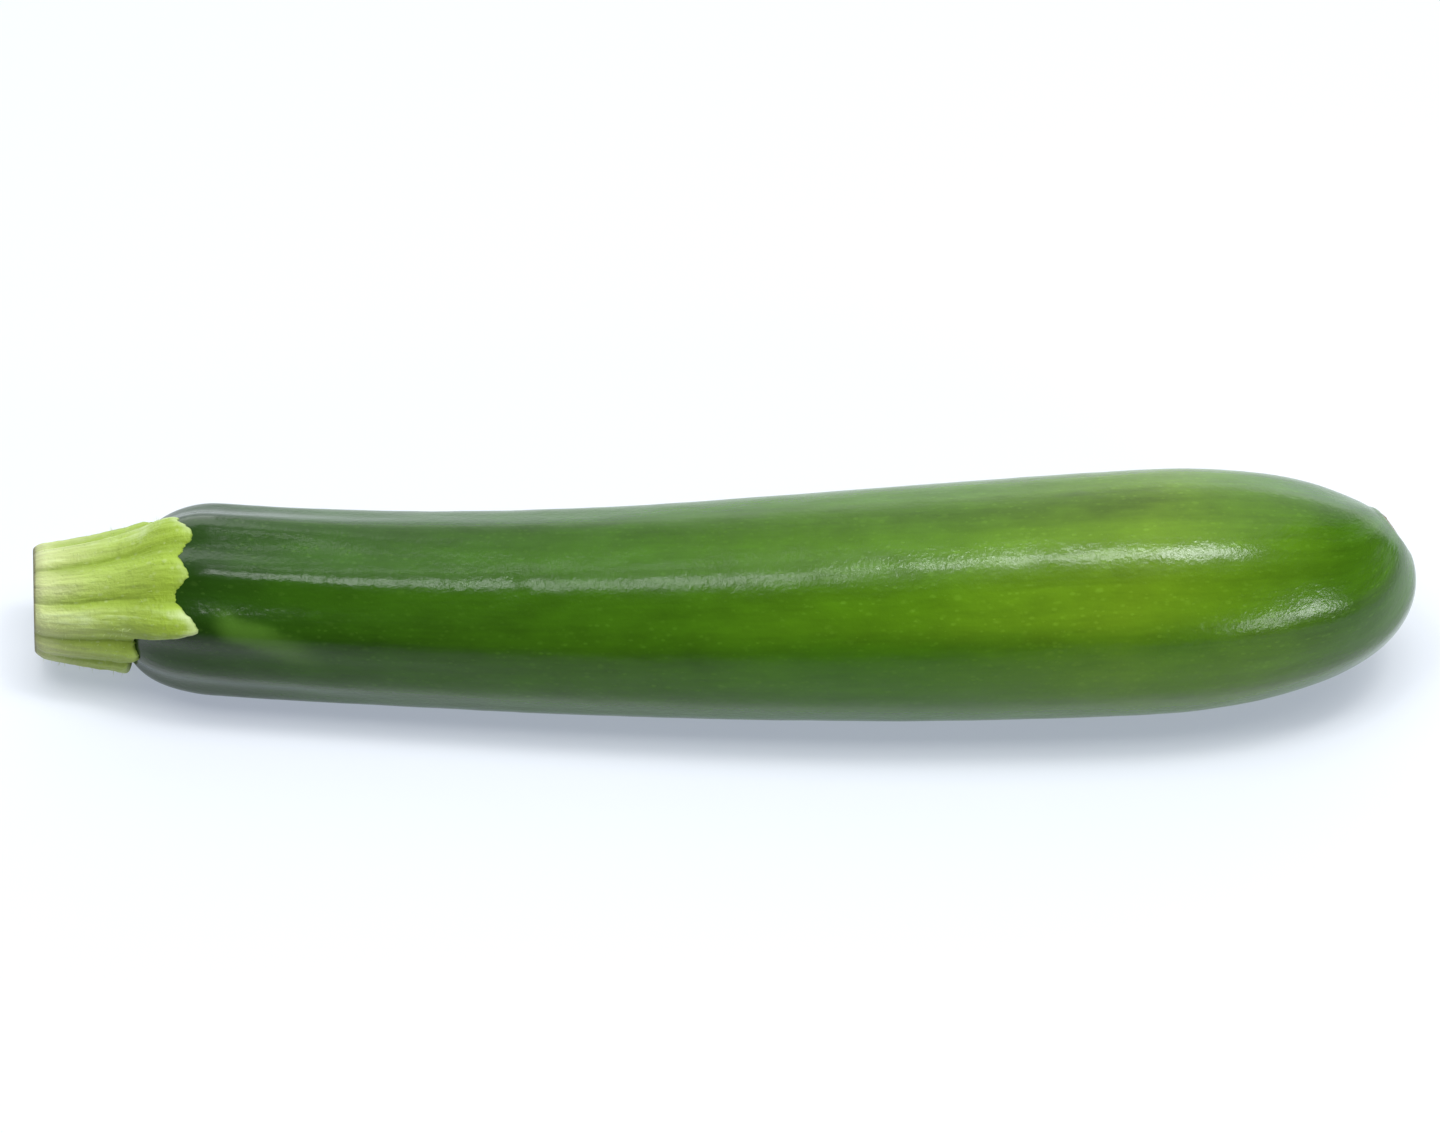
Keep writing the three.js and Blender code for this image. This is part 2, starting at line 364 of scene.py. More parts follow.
def fruit_tree(material):
    rings = SHOULDER_RINGS + BODY_RINGS + DOME_RINGS + SCAR_RINGS
    tree, sizes = new_tree("fruit", FRUIT_SIZES)
    form = Form(sizes)
    sheet, turn, ring = grid_start(tree, FRUIT_SIDES, rings)
    shoulder_share = (ring / SHOULDER_RINGS).clamped()
    body_share = ((ring - SHOULDER_RINGS) / BODY_RINGS).clamped()
    dome_share = ((ring - SHOULDER_RINGS - BODY_RINGS) / DOME_RINGS).clamped()
    inwards = ((ring - rings + SCAR_RINGS) / SCAR_RINGS).clamped()

    # How far along the dome it has narrowed to the scar's edge.
    narrowed = sizes["Scar radius"] / sizes["Belly radius"]
    scar_share = (1 - narrowed ** DOME_POWERS[1]) ** (1 / DOME_POWERS[0])
    x = (1 - (shoulder_share * QUARTER_TURN).math("COSINE")) * sizes["Shoulder length"] + X_SEAT
    body_length = (X_TIP - X_SEAT) - sizes["Dome length"] - sizes["Shoulder length"]
    x = x + body_share * body_length
    x = x + (dome_share * scar_share.math("ARCSINE")).math("SINE") * sizes["Dome length"]

    # The fruit's growth is uneven: long, very low waves in the skin, which fade out at both ends.
    around = vector(x * 0.02, turn.math("SINE"), turn.math("COSINE"))
    wave = noise(around, 1.3) * sizes["Waviness"] * 2 + noise(around * (2.5, 1, 1), 3.1) * sizes["Waviness"]
    fade = shoulder_share * (1 - ramp(dome_share, 0.6, 1))
    skin = form.skin_radius(x, turn) + wave * fade
    distance = skin * (1 - inwards)
    point = lean_tip(form, form.around_spine(x, turn, distance))

    # The skin near the scar moves onto the scar's plane. Cork makes the scar rough.
    tip = lean_tip(form, form.spine(steady(tree, X_TIP)))
    facing = tuple(SCAR_FACING)
    off = (point - tip).dot(facing) + SCAR_SUNK
    past_body = dome_share.math("GREATER_THAN", 0)
    drawn = (1 - ramp(distance, sizes["Scar radius"], SCAR_SKIRT)) * past_body
    ring_wave = (inwards * TAU).math("SINE")
    cork = noise(around + vector(inwards * 3, 0, 0), 6, detail=4) * SCAR_CORK
    cork = cork * ramp(inwards, 0, 0.2) * (1 - ramp(inwards, 0.85, 1))
    rise = ring_wave * ring_wave * (1 - inwards) * SCAR_RIM + cork
    move = rise - off * drawn
    point = point + vector(*(move * part for part in facing))

    # The ground flattens the skin that would be under it.
    px, py, pz = point.parts()
    place = vector(px, py, pz.math("MAXIMUM", 0))

    # The skin's patterns are laid out on a straight fruit, so that the bend doesn't stretch them.
    radius = form.plain_radius(x) * MM
    straight = vector(x * MM, turn.math("SINE") * radius * -1, turn.math("COSINE") * radius)
    marks = {
        "straight": straight,
        "rib": form.rib_wave(x, turn),
        "from_scar": distance + (1 - past_body) * FAR_FROM_SCAR,
    }
    finish_skin(tree, sheet, marks, place, material)
    return tree


def mark(tree, name, is_vector=False):
    """What a piece's mesh says about the place being shaded."""
    node = add_node(tree, "ShaderNodeAttribute", attribute_name=name)
    return Direction(tree, node.outputs["Vector"]) if is_vector else Field(tree, node.outputs["Fac"])


class Paint(Field):
    """A colour that varies over a surface."""

    def mixed(self, other, share, blend_type="MIX"):
        node = add_node(self.tree, "ShaderNodeMix", data_type="RGBA", blend_type=blend_type)
        for key, value in ((0, share), (6, self), (7, other)):
            if isinstance(value, Field):
                self.tree.links.new(value.socket, node.inputs[key])
            else:
                node.inputs[key].default_value = value
        return Paint(self.tree, node.outputs[2])


def colours_along(field, stops):
    """A colour for each value of the field, from (value, red, green, blue) stops."""
    node = add_node(field.tree, "ShaderNodeValToRGB", [field])
    points = node.color_ramp.elements
    while len(points) < len(stops):
        points.new(1)
    for point, (at, *colour) in zip(points, stops):
        point.position = at
        point.color = (*colour, 1)
    return Paint(field.tree, node.outputs[0])


def flecks_group():
    """A group that puts out 1 in small specks, one in each of a share of the cells, and 0 between them."""
    group = bpy.data.node_groups.new("flecks", "ShaderNodeTree")
    group.interface.new_socket("Place", in_out="INPUT", socket_type="NodeSocketVector")
    for label in ("Scale", "Size", "Share"):
        group.interface.new_socket(label, in_out="INPUT", socket_type="NodeSocketFloat")
    group.interface.new_socket("Flecks", in_out="OUTPUT", socket_type="NodeSocketFloat")
    inputs = group.nodes.new("NodeGroupInput")
    place = Direction(group, inputs.outputs["Place"])
    scale, size, share = (Field(group, inputs.outputs[label]) for label in ("Scale", "Size", "Share"))
    node = add_node(group, "ShaderNodeTexVoronoi", {"Vector": place, "Scale": scale})
    draw = Direction(group, node.outputs["Color"]).parts()
    kept = draw[0].math("LESS_THAN", share)
    ragged = Field(group, node.outputs["Distance"]) + noise(place, scale * 3) * 0.25
    width = (draw[1] * 0.7 + 0.3) * size
    fleck = (1 - ramp(ragged / width, 0.3, 1, "SMOOTHSTEP")) * kept * (draw[2] * 0.6 + 0.4)
    output = group.nodes.new("NodeGroupOutput")
    group.links.new(fleck.socket, output.inputs["Flecks"])
    return group


def flecks(place, scale, size, share):
    """The flecks at a place: their cells per metre, their size in cells, and the share of cells with one."""
    feeds = {"Place": place, "Scale": scale, "Size": size, "Share": share}
    return Field(place.tree, add_node(place.tree, "ShaderNodeGroup", feeds, node_tree=FLECKS).outputs[0])


FLECKS = flecks_group()


def new_material(name):
    """A material, its tree, and its main shader."""
    material = bpy.data.materials.new(name)
    material.use_nodes = True
    tree = material.node_tree
    return material, tree, tree.nodes["Principled BSDF"]


def set_surface(tree, shader, colour, roughness, height, depth):
    """Feeds a shader its colour, its roughness and a bump this many metres deep."""
    tree.links.new(colour.socket, shader.inputs["Base Color"])
    tree.links.new(roughness.socket, shader.inputs["Roughness"])
    bump = add_node(tree, "ShaderNodeBump", {"Height": height, "Distance": depth, "Strength": 1.0})
    tree.links.new(bump.outputs["Normal"], shader.inputs["Normal"])


# Colours are linear red, green and blue. Each stop of the skin's starts with a share of the way from the
# stem's seat to the tip, and each stop of the cork's with a level of its noise.
SKIN_COLOURS_WITH_FOOT_SHADE = (
    # The first two stops, under and beside the stem's foot, are painted shade.
    (0.00, 0.011, 0.038, 0.003),
    (0.07, 0.017, 0.058, 0.003),
    (0.13, 0.029, 0.096, 0.003),
    (0.42, 0.048, 0.140, 0.003),
    (0.62, 0.076, 0.182, 0.004),
    (0.78, 0.126, 0.240, 0.008),
    (0.87, 0.080, 0.187, 0.004),
    (0.93, 0.049, 0.136, 0.003),
)
CORK_COLOURS = (
    (0.3, 0.10, 0.065, 0.028),
    (0.5, 0.27, 0.19, 0.085),
    (0.7, 0.42, 0.33, 0.17),
)
SKIN_FRECKLE_COLOUR = (0.28, 0.40, 0.10, 1)
# The lower sides' colour is a fuller green that is also painted shade.
LOWER_SIDE_SHADE_COLOUR = (0.03, 0.16, 0.004, 1)
# The pale rib's colour is partly its own pale green and partly a painted sheen.
PALE_RIB_SHEEN_COLOUR = (0.10, 0.225, 0.026, 1)
NICK_COLOUR = (0.045, 0.04, 0.012, 1)
SCAR_RING_COLOUR = (0.20, 0.30, 0.06, 1)
SKIN_RELIEF = 0.1 * MM

# Where the cork gives way to the pale ring, and the ring to the skin, as distances from the middle.
SCAR_EDGE = (3.0, 3.5)
SCAR_RING_EDGE = (3.4, 5.5)

# The turn of the rib that is pale and has a painted sheen, at a place near the shoulder, how much it
# turns per millimetre, and where it fades in and out again.
PALE_SHEEN_RIB_X = -76
PALE_SHEEN_RIB_TURN = math.radians(58)
PALE_SHEEN_RIB_DRIFT = math.radians(1.3)
PALE_SHEEN_RIB_START = (-80, -74)
PALE_SHEEN_RIB_END = (-70, -59)

# The middles of two low knobs on the back, and how far each reaches.
KNOBS = (((52, -6.95, 17.9), 2.6), ((-29.8, -6.3, 14.1), 2.2))


def fuller_shaded_sides(turn, along, mottle):
    """1 on the belly's lower sides: a fuller green than its back, darkened with painted shade."""
    low = ramp(turn.math("ABSOLUTE") + mottle * 0.2, 0.85, 1.2)
    return low * ramp(along, 0.35, 0.6) * (1 - ramp(along, 0.78, 0.89))


def pale_rib_and_sheen(x, turn, mottle, blotch):
    """1 on the one rib that is paler where it leaves the shoulder, partly with a painted sheen."""
    off_rib = (turn - (x - PALE_SHEEN_RIB_X) * PALE_SHEEN_RIB_DRIFT - PALE_SHEEN_RIB_TURN).math("ABSOLUTE")
    on_rib = 1 - ramp(off_rib - mottle * 0.15 - blotch * 0.1, 0, 0.28)
    return on_rib * ramp(x + blotch * 4, *PALE_SHEEN_RIB_START) * (1 - ramp(x + blotch * 12, *PALE_SHEEN_RIB_END))


def back_knobs(straight):
    """1 in the middle of each knob. They break the shine along the back."""
    knobs = steady(straight.tree, 0)
    for knob, reach in KNOBS:
        off_knob = (straight - tuple(length * MM for length in knob)).length()
        knobs = knobs + 1 - ramp(off_knob, 0, reach * MM, "SMOOTHSTEP")
    return knobs


# Noise scales are in cells per metre. A place squeezed in X draws a pattern out along the fruit.
def skin_material():
    material, tree, shader = new_material("courgette_skin")
    straight = mark(tree, "straight", True)
    rib = mark(tree, "rib")
    from_scar = mark(tree, "from_scar")
    x, y, z = (straight * (1 / MM)).parts()
    turn = (y * -1).math("ARCTAN2", z)
    along = (x - X_SEAT) / (X_TIP - X_SEAT)

    # The colour runs from the dark neck to the pale belly, and is cloudy along the fruit. Next to the
    # stem's foot the neck is darkened further with painted shade.
    cloud = noise(straight * (0.45, 1, 1), 46, detail=3)
    patch = noise(straight + (0.3, 0.1, 0.7), 16, detail=1)
    colour = colours_along((along + cloud * 0.10 + patch * 0.10).clamped(), SKIN_COLOURS_WITH_FOOT_SHADE)

    # Streaks run along the ribs, a few wide and many fine. Pale freckles lie thicker in some of them.
    streak = noise(straight * (0.05, 1, 1), 420, detail=3)
    fine_streak = noise(straight * (0.1, 1, 1), 1500, detail=2)
    mottle = noise(straight * (0.5, 1, 1), 330, detail=4, roughness=0.6)
    thick = ramp(streak + noise(straight * (0.08, 1, 1), 90), -0.25, 0.25) * 0.6 + 0.4
    freckles = flecks(straight * (0.6, 1, 1), 1250, 0.50, 0.9) * thick
    dots = flecks(straight * (0.7, 1, 1) + (0.5, 0, 0), 520, 0.34, 0.5) * thick
    blotch = noise(straight * (0.6, 1, 1), 150, detail=2)

    # The ribs' crests are darker than the furrows between them, most of all on the belly.
    shade = streak * 0.35 + fine_streak * 0.25 + mottle * 0.5 + blotch * 0.3 + cloud * 0.5
    on_belly = ramp(along, 0.45, 0.7) * (1 - ramp(along, 0.78, 0.88))
    shade = shade - rib * (on_belly * 0.06 + 0.06)
    shade = (shade + freckles * 0.26 + dots * 0.24 + 0.96).math("MAXIMUM", 0.2)
    colour = colour.mixed(vector(shade, shade, shade), 1.0, "MULTIPLY")
    colour = colour.mixed(SKIN_FRECKLE_COLOUR, freckles * 0.05 + dots * 0.07)
    # The belly's lower sides: a fuller green, and painted shade where they turn from the light above.
    colour = colour.mixed(LOWER_SIDE_SHADE_COLOUR, fuller_shaded_sides(turn, along, mottle) * 0.32)
    # One rib is paler where it leaves the shoulder: partly its own green, partly a painted sheen.
    colour = colour.mixed(PALE_RIB_SHEEN_COLOUR, pale_rib_and_sheen(x, turn, mottle, blotch) * 0.6)

    # A few dull brown nicks.
    nicks = flecks(straight * (0.4, 1, 1) + (0, 0.4, 0), 62, 0.07, 0.16)
    colour = colour.mixed(NICK_COLOUR, nicks * 0.8)

    # The scar: tan cork, darker in its cracks, in a thin pale ring of skin.
    scar_edge = from_scar + noise(straight, 900, detail=2) * 0.8
    scar = 1 - ramp(scar_edge, *SCAR_EDGE, "SMOOTHSTEP")
    ring = (1 - ramp(scar_edge, *SCAR_RING_EDGE, "SMOOTHSTEP")) * 0.35
    cork = colours_along((noise(straight, 1500, detail=4) + 0.5).clamped(), CORK_COLOURS)
    colour = colour.mixed(SCAR_RING_COLOUR, ring)
    colour = colour.mixed(cork, scar)

    # The wax is rubbed in patches. The skin is as fine-grained as an orange's, over low, wide lumps.
    rub = noise(straight * (0.3, 1, 1), 130, detail=4)
    roughness = rub * 0.14 + freckles * 0.05 + nicks * 0.3 + scar * 0.5 + 0.2
    peel = noise(straight, 1500, detail=2) * 0.35 + noise(straight * (0.8, 1, 1), 620) * 0.38
    lumps = noise(straight * (0.9, 1, 1), 190, detail=1) * 0.4
    height = peel + lumps + streak * 0.2 - freckles * 0.12 - nicks * 0.3
    height = height + back_knobs(straight) * 0.7 + scar * peel * 4
    set_surface(tree, shader, colour, roughness.clamped(), height, SKIN_RELIEF)
    shader.inputs["IOR"].default_value = 1.45
    shader.inputs["Specular IOR Level"].default_value = 0.55
    return material


skin = skin_material()
fruit = grow("courgette_fruit", fruit_tree(skin), FRUIT_SIZES, [skin])
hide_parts("fruit")
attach(fruit, "root")


# ---- the stem --------------------------------------------------------------------------------
# The stub of the fruit's stalk, tough and pale, cut off with a knife. Its ridges, of which every second
# one is stronger, run on into a foot that spreads in ragged lobes over the fruit's shoulder. Stem and
# fruit grew together, so the edge of the foot sinks into the skin.
FLARE_FROM = -0.5
FLARE_TO = 18
RIDGE_AT_CUT = 0.6
RIDGE_ON_LOBES = 0.3
RIDGE_WANDER = 0.14
RIDGE_SHARPNESS = 0.8
STEM_TWIST = math.radians(5)
RIM_ROUND_ALONG = 2.5
RIM_ROUND_INWARDS = 1.1
CUT_DISH = 0.5
PITH_RADIUS = 0.24
PITH_DEPTH = 0.7
TEAR_HEIGHT = 0.35
CUT_SLANT = math.tan(math.radians(13.5))
CUT_SLANT_TURN = math.radians(70)
LOBE_THICKNESS = 1.0
THINNEST_LOBE = 0.15
LOBE_BLEND = 1.5
EDGE_SUNK = 0.25
FOOT_DEPTH = 6

# The foot's edge, as turns in degrees and how far it reaches over the shoulder at each. Noise then
# tatters and notches it.
FOOT_EDGE = (
    (-84, 11), (-66, 5.5), (-48, 3.2), (-31, 4.2), (-14, 9.2), (-1, 12.2), (14, 10.6), (26, 12.4),
    (41, 10.6), (60, 14.8), (77, 3.7), (96, 4.4), (114, 2.2), (132, 2), (150, 1.8), (168, 5.2),
    (186, 3), (204, 6), (222, 4.6), (240, 8), (258, 6.5), (276, 11),
)
LONGEST_LOBE = max(reach for _, reach in FOOT_EDGE)
SHORTEST_LOBE = 1.2
EDGE_TATTERS = 2.2
EDGE_NOTCHES = 1.1

STEM_SIDES = 440
FACE_RINGS = 26
FLANK_RINGS = 56
LOBE_RINGS = 60
SEAT_RINGS = 6
STEM_SIZES = {
    **FORM_SIZES,
    "Stem radius": 9.1,
    "Foot radius": 12.6,
    "Strong ridge": 1.5,
    "Weak ridge": 0.9,
    "Roughness": 0.2,
}


def foot_reach(turn):
    """How far the foot's edge reaches over the shoulder, eased from one listed turn to the next."""
    first_turn = FOOT_EDGE[0][0]
    degrees = (turn * (180 / math.pi) - first_turn).math("FLOORED_MODULO", 360) + first_turn
    reach = degrees * 0 + FOOT_EDGE[0][1]
    for (turn_before, before), (turn_after, after) in zip(FOOT_EDGE, FOOT_EDGE[1:]):
        reach = reach + ramp(degrees, turn_before, turn_after, "SMOOTHSTEP") * (after - before)
    return reach


def blended_max(a, b, rounding):
    """The larger of two fields, rounded where they cross."""
    gap = a - b
    return (a + b + (gap * gap + rounding * rounding).math("SQRT")) * 0.5


def stem_tree(material):
    rings = FACE_RINGS + FLANK_RINGS + LOBE_RINGS + SEAT_RINGS
    tree, sizes = new_tree("stem", STEM_SIZES)
    form = Form(sizes)
    sheet, turn, ring = grid_start(tree, STEM_SIDES, rings)
    outwards = (ring / FACE_RINGS).clamped()
    flank_share = ((ring - FACE_RINGS) / FLANK_RINGS).clamped()
    lobe_share = ((ring - FACE_RINGS - FLANK_RINGS) / LOBE_RINGS).clamped()
    seat_share = ((ring - rings + SEAT_RINGS) / SEAT_RINGS).clamped()
    sine, cosine = turn.math("SINE"), turn.math("COSINE")
    around = vector(0, sine, cosine)

    reach = foot_reach(turn) + noise(around, 7, detail=4, roughness=0.7) * EDGE_TATTERS
    reach = reach + noise(around, 24) * EDGE_NOTCHES
    reach = reach.math("MAXIMUM", SHORTEST_LOBE)
    edge = reach + X_SEAT

    def furrow_depth(x):
        twist = ((X_SEAT - x) / STEM_LENGTH).clamped() * STEM_TWIST
        wander = noise(around + vector(x * 0.03, 0, 0), 2.2) * RIDGE_WANDER
        wave = ((turn - STRONG_RIB_TURN - twist + wander) * (RIBS / 2)).math("COSINE")
        strong = wave.math("GREATER_THAN", 0)
        ridge = between(sizes["Weak ridge"], sizes["Strong ridge"], strong)
        return sizes["Strong ridge"] - ridge * wave.math("ABSOLUTE") ** RIDGE_SHARPNESS

    def flank_radius(x, from_cut):
        flare = ramp(x, X_CUT + FLARE_FROM, X_CUT + FLARE_TO, "LINEAR")
        crest = between(sizes["Stem radius"], sizes["Foot radius"], flare)
        to_rim = (1 - from_cut / RIM_ROUND_ALONG).clamped()
        rounding = (1 - (1 - to_rim * to_rim).math("SQRT")) * RIM_ROUND_INWARDS
        return crest - rounding - between(RIDGE_AT_CUT, 1, flare) * furrow_depth(x)

    def fibres(x):
        """Fine raised fibres along the stem, and its low warts."""
        fine = noise(vector(x * 0.02, sine, cosine), 16, detail=4, roughness=0.6)
        lumps = noise(vector(x * 0.12, sine, cosine), 5.5, detail=3)
        return (fine * 2 + lumps * 1.6) * sizes["Roughness"]

    rim = flank_radius(steady(tree, X_CUT), steady(tree, 0))
    slant = (turn - CUT_SLANT_TURN).math("COSINE") * CUT_SLANT
    rim_x = slant * rim + X_CUT

    # The cut face, the flank and the lobes follow one another. Each share stays put outside its rings.
    face_distance = outwards * rim
    pith = (1 - ramp(outwards, PITH_RADIUS * 0.4, PITH_RADIUS, "SMOOTHSTEP")) * PITH_DEPTH
    tear = noise(vector(outwards * 2, sine * outwards, cosine * outwards), 5, detail=4) * TEAR_HEIGHT
    tear = tear * (1 - ramp(outwards, 0.8, 1))
    face_x = slant * face_distance + X_CUT + (1 - outwards * outwards) * CUT_DISH + pith + tear

    # The flank's rings lie closer together near the rim.
    flank_x = between(rim_x, X_SEAT, flank_share ** 1.3)
    flank = flank_radius(flank_x, flank_x - rim_x) + fibres(flank_x) * ramp(flank_share, 0, 0.12)

    towards_edge = (lobe_share * QUARTER_TURN).math("SINE")
    lobe_x = towards_edge * reach + X_SEAT
    skin_here = form.skin_radius(lobe_x, turn)
    thick = between(0.3, 1, reach / LONGEST_LOBE) * LOBE_THICKNESS
    thickness = (thick - furrow_depth(lobe_x) * RIDGE_ON_LOBES).math("MAXIMUM", THINNEST_LOBE)
    under_flank = flank_radius(lobe_x, lobe_x - rim_x)
    over = blended_max(under_flank, skin_here + thickness, LOBE_BLEND) + fibres(lobe_x)
    rounded = (1 - towards_edge ** 6).math("MAXIMUM", 0).math("SQRT")
    lobe = skin_here - EDGE_SUNK + (over - skin_here + EDGE_SUNK) * rounded

    # Inside the fruit the foot closes to a point.
    on_flank = flank_share.math("GREATER_THAN", 0)
    on_lobe = lobe_share.math("GREATER_THAN", 0)
    x = between(face_x, flank_x, on_flank)
    x = between(x, lobe_x, on_lobe)
    x = between(x, X_SEAT + FOOT_DEPTH, seat_share)
    distance = between(face_distance, flank, on_flank)
    distance = between(distance, lobe, on_lobe) * (1 - seat_share)
    place = form.around_spine(x, turn, distance)

    stalk_radius = sizes["Stem radius"] * MM
    marks = {
        "straight": vector((x - rim_x) * MM, sine * stalk_radius * -1, cosine * stalk_radius),
        "furrow": furrow_depth(x) / sizes["Strong ridge"],
        "outwards": outwards,
        "from_cut": (x - rim_x) * on_flank,
        "to_edge": edge - x,
    }
    finish_skin(tree, sheet, marks, place, material)
    return tree


# The stalk's colours follow the way from the cut to the foot, and the cut face's the way outwards.
STALK_COLOURS = (
    (0.00, 0.70, 0.76, 0.36),
    (0.22, 0.52, 0.61, 0.20),
    (0.55, 0.41, 0.54, 0.10),
    (1.00, 0.34, 0.48, 0.045),
)
CUT_FACE_COLOURS = (
    (0.00, 0.16, 0.17, 0.06),
    (0.20, 0.30, 0.33, 0.13),
    (0.30, 0.52, 0.56, 0.30),
    (0.62, 0.47, 0.53, 0.24),
    (0.70, 0.30, 0.38, 0.12),
    (0.80, 0.46, 0.52, 0.24),
    (0.95, 0.42, 0.44, 0.20),
)
FURROW_SHADE_COLOUR = (0.24, 0.35, 0.022, 1)
RIDGE_HIGHLIGHT_COLOUR = (0.66, 0.75, 0.45, 1)
STALK_FRECKLE_COLOUR = (0.60, 0.68, 0.36, 1)
LOBE_TIP_HIGHLIGHT_COLOUR = (0.58, 0.68, 0.36, 1)
FOOT_EDGE_COLOUR = (0.10, 0.19, 0.015, 1)
DRIED_COLOUR = (0.20, 0.18, 0.09, 1)
FRESH_BY = 22
STALK_RELIEF = 0.22 * MM


def stem_material():
    material, tree, shader = new_material("courgette_stem")
    straight = mark(tree, "straight", True)
    furrow = mark(tree, "furrow")
    outwards = mark(tree, "outwards")
    from_cut = mark(tree, "from_cut")
    to_edge = mark(tree, "to_edge")

    # Pale and dry at the cut, yellower and fresher towards the foot.
    fibre = noise(straight * (0.06, 1, 1), 1300, detail=4, roughness=0.6)
    coarse_fibre = noise(straight * (0.08, 1, 1), 480, detail=3)
    cloud = noise(straight, 190, detail=4, roughness=0.6)
    fresh = (from_cut / FRESH_BY + cloud * 0.45 + fibre * 0.15).clamped()
    colour = colours_along(fresh, STALK_COLOURS)
    shade = fibre * 0.7 + coarse_fibre * 0.7 + cloud * 0.3 + 1
    colour = colour.mixed(vector(shade, shade, shade), 1.0, "MULTIPLY")

    # Painted shade darkens the furrows to olive, and painted highlights lie in patches on the ridges. Fine
    # freckles, and lobes painted paler towards their tips as a highlight.
    furrow_shade = ramp(furrow + coarse_fibre * 0.4, 0.25, 0.9) * (ramp(from_cut, 0.5, 7) * 0.4 + 0.3)
    colour = colour.mixed(FURROW_SHADE_COLOUR, furrow_shade)
    # Painted highlight in patches on the ridges.
    ridge_highlight = (1 - ramp(furrow, 0.05, 0.55)) * ramp(fibre + cloud + coarse_fibre, -0.15, 0.3)
    colour = colour.mixed(RIDGE_HIGHLIGHT_COLOUR, ridge_highlight * 0.5)
    freckles = flecks(straight * (0.5, 1, 1), 1500, 0.5, 0.7)
    colour = colour.mixed(STALK_FRECKLE_COLOUR, freckles * 0.28)
    # Painted highlight on the lobes' rounded tips, away from the furrows.
    lobe_tip_highlight = (1 - ramp(to_edge, 0.2, 2.2)) * (1 - ramp(furrow, 0.1, 0.6))
    colour = colour.mixed(LOBE_TIP_HIGHLIGHT_COLOUR, lobe_tip_highlight * 0.5)
    to_skin = 1 - ramp(to_edge + cloud * 0.4, 0.0, 0.5)
    colour = colour.mixed(FOOT_EDGE_COLOUR, to_skin * 0.5)

    # The cut: a cream face with a ring of bundles round a dark pith. Its rim has dried, strongly on the
    # edge and faintly a little way down the flank.
    face_noise = noise(straight, 900, detail=4)
    face = colours_along((outwards + face_noise * 0.10).clamped(), CUT_FACE_COLOURS)
    on_face = 1 - ramp(outwards, 0.985, 1.0, "LINEAR")
    colour = colour.mixed(face, on_face)
    dried_edge = (1 - ramp(from_cut + cloud * 0.5, 0.15, 0.65)) * 0.6
    dried = dried_edge + (1 - ramp(from_cut + cloud * 2, 0.3, 2.2)) * 0.25
    colour = colour.mixed(DRIED_COLOUR, ramp(outwards, 0.9, 1.0) * dried)

    roughness = cloud * 0.15 + on_face * 0.15 + 0.52
    height = fibre + coarse_fibre * 1.5 + noise(straight, 2600, detail=3) * 0.6 + face_noise * on_face
    set_surface(tree, shader, colour, roughness.clamped(), height, STALK_RELIEF)
    shader.inputs["Specular IOR Level"].default_value = 0.4
    return material


stalk = stem_material()
stem = grow("courgette_stem", stem_tree(stalk), STEM_SIZES, [stalk])
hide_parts("stem")
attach(stem, "root")


# ---- the stem's bristles ---------------------------------------------------------------------
# Stiff, clear hairs that grow all over the young stem and its lobes, thinner on the ground in the furrows.
# Each is a fine spike of the stem's own skin, rooted in it and leaning at random.
BRISTLE_SEED = 7
BRISTLE_SIZES = {
    "Bristles per square millimetre": 0.24,
    "Shortest": 0.4,
    "Longest": 1.15,
    "Root radius": 0.035,
    "Lean": 0.55,
}
HAIR_COLOURS = ((0.0, 0.40, 0.50, 0.14), (1.0, 0.60, 0.68, 0.34))


def random_value(tree, kind, low, high, seed):
    """A random number or vector for each point."""
    first = {"FLOAT_VECTOR": 0, "FLOAT": 2}[kind]
    feeds = {first: low, first + 1: high, 8: seed}
    node = add_node(tree, "FunctionNodeRandomValue", feeds, data_type=kind)
    return Field(tree, node.outputs[first // 2])


def stem_mark(tree, name):
    """What the stem's mesh says about each of its points."""
    node = add_node(tree, "GeometryNodeInputNamedAttribute", {"Name": name}, data_type="FLOAT")
    return Field(tree, node.outputs["Attribute"])


